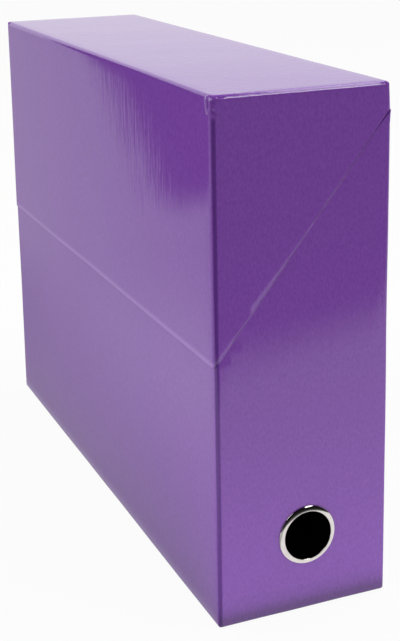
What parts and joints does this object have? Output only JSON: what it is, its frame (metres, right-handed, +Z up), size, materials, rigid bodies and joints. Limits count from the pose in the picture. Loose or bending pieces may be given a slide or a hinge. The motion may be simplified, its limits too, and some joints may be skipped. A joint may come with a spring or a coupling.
{
  "type": "archive storage box",
  "caption": "Upright rigid board box for filed papers, wrapped in glossy violet paper, with a slant-cut lid hinged high on one side and a metal finger ring low on the spine.",
  "frame": {"origin": "middle of the base, at the middle of the whole box's outline", "axes": "+Z up, -Y out of the spine that carries the finger ring, +X across the spine towards the hinge side"},
  "size_m": [0.09, 0.3416, 0.255],
  "materials": {
    "glossy_paper": "gloss-laminated paper on rigid board",
    "nickel": "bright nickel plate"
  },
  "bodies": {
    "body": {"box_body": "glossy_paper", "hinge_band": "glossy_paper", "finger_ring": "nickel", "ring_washer": "nickel"},
    "lid": {"box_lid": "glossy_paper"}
  },
  "joints": [
    {"name": "lid_hinge", "type": "hinge", "parent": "body", "child": "lid", "pos_m": [0.04515, 0.0008, 0.243], "axis": [0, 1, 0], "range_deg": [0, 180]}
  ]
}
